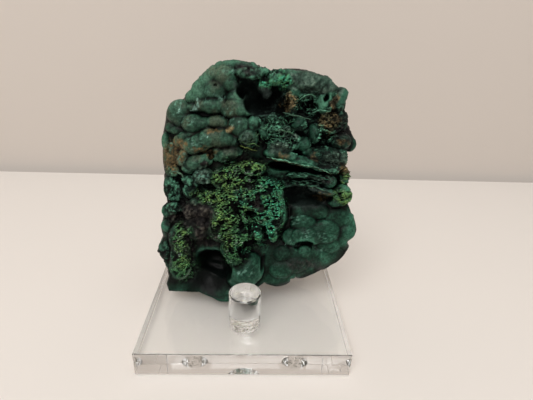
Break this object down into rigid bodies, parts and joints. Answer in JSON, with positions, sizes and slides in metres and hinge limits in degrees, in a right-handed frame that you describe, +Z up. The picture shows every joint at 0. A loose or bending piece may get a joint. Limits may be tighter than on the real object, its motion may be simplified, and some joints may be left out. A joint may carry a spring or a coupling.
{
  "type": "malachite specimen on a clear three-post stand",
  "caption": "Botryoidal malachite specimen: a leaning slab with rounded lumps, ledges and a porous crust, resting behind the front post of a clear square display stand.",
  "frame": {"origin": "centre of the underside of the stand's square plate", "axes": "+Z up, -Y towards the front of the specimen, +X to its right as seen from the front"},
  "size_m": [0.1109, 0.1016, 0.1361],
  "materials": {
    "acrylic": "clear, polished",
    "malachite": "dark green velvety crust with brown and purple-black matrix"
  },
  "bodies": {
    "root": {"base_plate": "acrylic", "post_front": "acrylic", "post_rear_left": "acrylic", "post_rear_right": "acrylic", "malachite": "malachite"}
  },
  "joints": []
}
